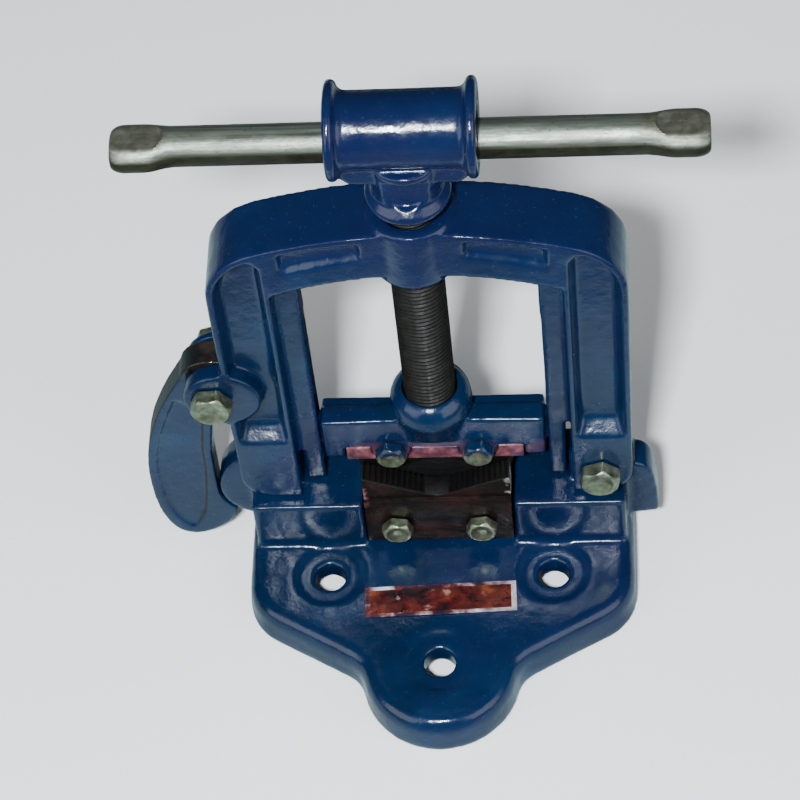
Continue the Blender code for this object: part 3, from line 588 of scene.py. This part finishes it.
def nut_look(node, size):
    """A hexagon nut along Y, chamfered on both faces, with a plain bore."""
    flats, hole, lip = size[0], size[3], 0.0009
    low, high, centre = axis_of(node)
    corner = flats / math.sqrt(3)
    rims = ((0, flats * 0.485), (0.5, corner * 0.95), (1, corner))
    faces = [(low.y + lip * share, limit) for share, limit in rims]
    faces += [(high.y - lip * share, limit) for share, limit in reversed(rims)]
    loops = [hex_loop(centre, y, flats, limit, NUT_TURN) for y, limit in faces]
    bore = ((high.y, hole + 0.0005), (high.y - 0.0005, hole), (low.y + 0.0005, hole), (low.y, hole + 0.0005))
    loops += [round_loop(centre, y, radius) for y, radius in bore]
    stand_for(loops_mesh(f"{node}_turned", loops, LOOK["zinc_steel"], closed_ring=True, sharp_deg=30), node)


def splash_paint(piece, line_z):
    """Enamel brushed over the upper part of a bolt head, down to an uneven line."""
    piece.data.materials.append(LOOK["blue_enamel"])
    for face in piece.data.polygons:
        edge = line_z + 0.0006 * math.sin(900 * face.center.x)
        if face.center.z > edge:
            face.material_index = 1


def fasteners():
    """Bolts and nuts: M6 through the jaws, M8 at the two pivots."""
    for word, turn in (("left", -10), ("right", 10)):
        for jaw in ("lower_jaw", "upper_jaw"):
            bolt = bolt_look(f"{jaw}_bolt_{word}", M6, M6_PITCH, turn)
            nut_look(f"{jaw}_nut_{word}", M6)
            if jaw == "upper_jaw":
                splash_paint(bolt, PAINT_LINE[word])
    for pivot, turn in (("hinge", 20), ("hook", 5)):
        bolt_look(f"{pivot}_bolt", M8, M8_PITCH, turn)
        nut_look(f"{pivot}_nut", M8)


def paint_cad():
    """Gives the nodes that show their own CAD mesh, such as washers and pins, the material of their slot."""
    for node, obj in frame["nodes"].items():
        if not obj.data.materials:
            obj.data.materials.append(None)
        for slot in range(len(obj.data.materials)):
            obj.data.materials[slot] = LOOK[SLOT_OF[node]]


# ---------------------------------------------------------------- screw and handle


def thread_radius(phase, crest, depth):
    """A trapezoid thread form over one turn, phase from 0 to 1."""
    if phase < 0.34:
        return crest
    if phase < 0.5:
        return crest - depth * (phase - 0.34) / 0.16
    if phase < 0.84:
        return crest - depth
    return crest - depth * (1 - phase) / 0.16


def turned_loop(radius_at, z):
    """A ring of points about the Z axis whose radius is given at each angle."""
    angles = [2 * math.pi * i / RING_POINTS for i in range(RING_POINTS)]
    return [Vector((radius_at(a) * math.cos(a), radius_at(a) * math.sin(a), z)) for a in angles]


def thread_loops():
    """The thread between the groove and the shoulder, fading in and out over one lead."""
    start, end = THREAD_Z
    rings = int((end - start) / THREAD_LEAD * RINGS_PER_TURN)
    loops = []
    for k in range(rings + 1):
        z = start + (end - start) * k / rings
        depth = ROOT_DEPTH * min(1.0, (z - start) / THREAD_LEAD, (end - z) / THREAD_LEAD)

        def radius_at(angle):
            phase = THREAD_STARTS * (z / THREAD_LEAD - angle / (2 * math.pi)) % 1.0
            return thread_radius(phase, CREST_R, depth)

        loops.append(turned_loop(radius_at, z))
    return loops


def screw_spindle():
    """The screw from its chamfered foot and keeper groove up to the stub inside the crosshead."""
    low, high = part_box("screw_spindle")
    groove_low, groove_high = GROOVE_Z
    foot = (
        (CREST_R - 0.0015, low.z), (CREST_R, low.z + 0.0015), (CREST_R, groove_low),
        (GROOVE_R, groove_low), (GROOVE_R, groove_high), (CREST_R, groove_high),
    )
    top = (
        (CREST_R, SHOULDER_Z - 0.0006), (CREST_R - 0.0006, SHOULDER_Z), (STUB_R, SHOULDER_Z),
        (STUB_R, high.z - 0.0006), (STUB_R - 0.0006, high.z),
    )
    loops = [turned_loop(lambda angle: radius, z) for radius, z in foot]
    loops += thread_loops()
    loops += [turned_loop(lambda angle: radius, z) for radius, z in top]
    stand_for(loops_mesh("spindle_thread", loops, LOOK["screw_steel"], sharp_deg=38), "screw_spindle")


def forged_section(t, shift_y, sides=64):
    """One section, as (y, z), of a forged end: t runs from 0 at the tip to 1 where the round bar begins.

    The end bulges sideways, where a die has pressed a flat into its top and bottom.
    """
    swell = 1 - ease((t - 0.50) / 0.5)
    nose = math.sqrt(max(0.0, 1 - (1 - min(1.0, t / 0.24)) ** 2))
    trim = 0.66 + 0.34 * nose
    half_y = (BAR_R + (FORGED_HALF_Y - BAR_R) * swell) * trim
    half_z = (BAR_R + (FORGED_HALF_Z - BAR_R) * swell) * trim
    section = []
    for i in range(sides):
        angle = 2 * math.pi * i / sides
        y, z = half_y * math.cos(angle), half_z * math.sin(angle)
        reach = 0.80 * math.sqrt(max(0.0, 1 - (y / (FORGED_HALF_Y * 1.02)) ** 2))
        level = FORGED_FLAT + 1.9 * max(0.0, t - reach) * FORGED_LENGTH
        z = max(-level - 0.0004, min(level, z))
        section.append((y + shift_y * swell, z))
    return section


def forged_end(tip_x, inward, shift_y):
    """The loops of one end, from its tip to where the round bar begins; inward is 1 or -1 along X."""
    loops = []
    for i in range(FORGED_STATIONS + 1):
        t = i / FORGED_STATIONS
        x = tip_x + inward * FORGED_LENGTH * t
        loops.append([Vector((x, BAR_Y + y, BAR_Z + z)) for y, z in forged_section(t, shift_y)])
    return loops


def handle_bar():
    """A drawn bar with a forged end on each side; the left one sits a little forward."""
    low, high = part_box("handle_bar")
    loops = forged_end(low.x, 1, -0.0005) + forged_end(high.x, -1, 0)[::-1]
    stand_for(loops_mesh("handle_forged", loops, LOOK["bright_steel"], sharp_deg=28), "handle_bar")


# ---------------------------------------------------------------- jaws


def prism_bm(shape, outline, low_y, high_y):
    """Adds a prism along Y over an outline of (x, z) to a bmesh."""
    rings = [[shape.verts.new((x, y, z)) for x, z in outline] for y in (low_y, high_y)]
    count = len(outline)
    for i in range(count):
        j = (i + 1) % count
        shape.faces.new((rings[0][i], rings[0][j], rings[1][j], rings[1][i]))
    shape.faces.new(rings[0])
    shape.faces.new(rings[1])


def tooth_cutter(name, lines, half_y):
    """Triangular grooves along Y, evenly spaced on each line ((x, z), (x, z)), cutting towards its normal."""
    shape = bmesh.new()
    half_width = SERRATION_PITCH * 0.62
    for start, end, up in lines:
        start, end = Vector(start), Vector(end)
        along = (end - start).normalized()
        normal = Vector((-along.y, along.x)) * up
        mouth = normal * 0.0004
        for i in range(int((end - start).length / SERRATION_PITCH)):
            middle = start + along * SERRATION_PITCH * (i + 0.5)
            root = middle - normal * SERRATION_DEPTH
            corners = (middle - along * half_width + mouth, root, middle + along * half_width + mouth)
            prism_bm(shape, [(p.x, p.y) for p in corners], -half_y, half_y)
    bmesh.ops.recalc_face_normals(shape, faces=shape.faces)
    return link_object(name, into_mesh(shape, bpy.data.meshes.new(name)))


def serrated(node, look, lines, half_y):
    """The CAD jaw with grooves cut along the lines of its vee and its edges taken off."""
    piece = copy_of(node, f"{node}_serrated", look)
    add_weld(piece)
    cutter = tooth_cutter(f"{node}_teeth", lines, half_y)
    cut = piece.modifiers.new("teeth", "BOOLEAN")
    cut.operation = "DIFFERENCE"
    cut.solver = "EXACT"
    cut.use_self = True
    cut.object = cutter
    edge = piece.modifiers.new("edge", "BEVEL")
    edge.width = 0.0004
    edge.segments = 2
    edge.angle_limit = math.radians(40)
    finished(piece)
    bpy.data.objects.remove(cutter, do_unlink=True)
    piece.data.shade_smooth()
    piece.data.set_sharp_from_angle(angle=math.radians(40))
    return stand_for(piece, node)


def split_level(mesh, level):
    """Cuts the faces of a mesh along a level plane."""
    shape = bmesh.new()
    shape.from_mesh(mesh)
    everything = shape.verts[:] + shape.edges[:] + shape.faces[:]
    bmesh.ops.bisect_plane(shape, geom=everything, plane_co=(0, 0, level), plane_no=(0, 0, 1))
    into_mesh(shape, mesh)


def lower_jaw():
    """Stained steel whose faces in the vee are teeth, coloured near black as painted shade."""
    jaw = serrated("lower_jaw", LOOK["jaw_steel"], LOWER_TEETH, LOWER_CUT_Y)
    jaw.data.materials.append(LOOK["teeth_shade_black"])
    for face in jaw.data.polygons:
        in_vee = face.center.z > VEE_LOW_Z and face.normal.z > VEE_SLOPE
        if in_vee and abs(face.center.y) < LOWER_HALF_Y:
            face.material_index = 1


def upper_jaw():
    """Teeth below, coloured near black as painted shade, and a strip under worn primer above them."""
    jaw = serrated("upper_jaw", LOOK["teeth_shade_black"], UPPER_TEETH, UPPER_CUT_Y)
    jaw.data.materials.append(red_steel())
    split_level(jaw.data, UPPER_TOOTH_TOP)
    for face in jaw.data.polygons:
        if face.center.z > UPPER_TOOTH_TOP:
            face.material_index = 1


# ---------------------------------------------------------------- label


def crease_waves():
    """Nine waves for the creases of the foil, each (direction, rate, shift, size), the same on every run."""
    random.seed(7)
    waves = []
    for _ in range(9):
        direction, rate = random.uniform(0, math.pi), random.uniform(500, 1400)
        shift, size = random.uniform(0, 6), random.uniform(0.00002, 0.00007)
        waves.append((direction, rate, shift, size))
    return waves


def foil_grid(shape, waves, raised):
    """Rows of vertices for one side of the foil: creased where it is raised, flat where it is stuck down."""
    low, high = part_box("label_plate")
    centre = (low + high) / 2
    cos, sin = math.cos(LABEL_TURN), math.sin(LABEL_TURN)
    across, along = LABEL_CELLS
    grid = []
    for j in range(along + 1):
        row = []
        for i in range(across + 1):
            x, y = (i / across - 0.5) * LABEL_LONG, (j / along - 0.5) * LABEL_WIDE
            z = low.z + 0.0001
            if raised:
                lift = sum(
                    size * math.sin(rate * (x * math.cos(a) + y * math.sin(a)) + shift)
                    for a, rate, shift, size in waves
                )
                z = min(z + (high.z - low.z - 0.0003) + lift * 0.7, high.z)
            row.append(shape.verts.new((centre.x + x * cos - y * sin, centre.y + x * sin + y * cos, z)))
        grid.append(row)
    return grid


def foil_sheet():
    """A closed thin sheet: a flat side, a creased side and a strip around them."""
    across, along = LABEL_CELLS
    shape = bmesh.new()
    waves = crease_waves()
    back, front = foil_grid(shape, waves, False), foil_grid(shape, waves, True)
    for grid, flip in ((back, True), (front, False)):
        for j in range(along):
            for i in range(across):
                corners = (grid[j][i], grid[j][i + 1], grid[j + 1][i + 1], grid[j + 1][i])
                shape.faces.new(corners[::-1] if flip else corners)
    rim = [(0, i) for i in range(across)] + [(j, across) for j in range(along)]
    rim += [(along, i) for i in range(across, 0, -1)] + [(j, 0) for j in range(along, 0, -1)]
    for (j0, i0), (j1, i1) in zip(rim, rim[1:] + rim[:1]):
        shape.faces.new((back[j0][i0], back[j1][i1], front[j1][i1], front[j0][i0]))
    return into_mesh(shape, bpy.data.meshes.new("label_sheet"))


def label():
    """Foil stuck on unevenly: a thin creased sheet with a pale border."""
    mesh = foil_sheet()
    piece = link_mesh("label_sheet", mesh, LOOK["label_foil"], True, 60)
    mesh.materials.append(foil_border())
    low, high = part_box("label_plate")
    to_label = Matrix.Rotation(-LABEL_TURN, 4, "Z") @ Matrix.Translation(-(low + high) / 2)
    for face in mesh.polygons:
        at = to_label @ face.center
        if abs(at.x) > LABEL_LONG / 2 - LABEL_BORDER * 1.3 or abs(at.y) > LABEL_WIDE / 2 - LABEL_BORDER:
            face.material_index = 1
    stand_for(piece, "label_plate")


# ---------------------------------------------------------------- stage


def area_light(name, place, size, power, colour=(1, 1, 1)):
    """A rectangular lamp that points at the middle of the vice."""
    data = bpy.data.lights.new(name, "AREA")
    data.shape = "RECTANGLE"
    data.size, data.size_y = size
    data.energy = power
    data.color = colour
    lamp = link_object(name, data)
    lamp.location = place
    lamp.rotation_euler = (Vector(LAMP_AIM) - Vector(place)).to_track_quat("-Z", "Y").to_euler()


def stage():
    """A plain pale floor, a dim cool sky and three soft lamps."""
    shape = bmesh.new()
    bmesh.ops.create_grid(shape, x_segments=2, y_segments=2, size=3)
    floor = link_mesh("floor", into_mesh(shape, bpy.data.meshes.new("floor")), floor_paint(), False)
    floor.location.z = -0.0004
    world = bpy.data.worlds.new("studio")
    world.use_nodes = True
    sky = world.node_tree.nodes["Background"]
    sky.inputs["Color"].default_value = (0.6, 0.78, 1.0, 1)
    sky.inputs["Strength"].default_value = 0.09
    bpy.context.scene.world = world
    # The side lamps stand out in X, so the barrel and the bar mirror only the key
    area_light("key", (-0.06, -0.78, 1.15), (0.12, 0.09), 40.0, (0.90, 0.96, 1.0))
    area_light("left", (-0.95, -0.75, 0.70), (1.0, 1.0), 11.0)
    area_light("right", (0.95, -0.65, 0.70), (1.0, 1.0), 10.0)


def camera():
    """The camera at the photograph's angle."""
    turn, tilt, roll = (math.radians(a) for a in (VIEW_AZIMUTH, VIEW_ELEVATION, VIEW_ROLL))
    back = Vector((math.sin(turn) * math.cos(tilt), -math.cos(turn) * math.cos(tilt), math.sin(tilt)))
    right = Vector((math.cos(turn), math.sin(turn), 0))
    up = back.cross(right)
    across = right * math.cos(roll) - up * math.sin(roll)
    upright = right * math.sin(roll) + up * math.cos(roll)
    data = bpy.data.cameras.new("camera")
    data.lens = VIEW_LENS
    data.sensor_width = 36
    data.clip_start, data.clip_end = 0.05, 20
    eye = link_object("camera", data)
    axes = Matrix((across, upright, back)).transposed()
    eye.matrix_world = Matrix.Translation(Vector(VIEW_AIM) + back * VIEW_DISTANCE) @ axes.to_4x4()
    bpy.context.scene.camera = eye


camera()
stage()
castings()
lower_jaw()
upper_jaw()
screw_spindle()
handle_bar()
label()
fasteners()
paint_cad()
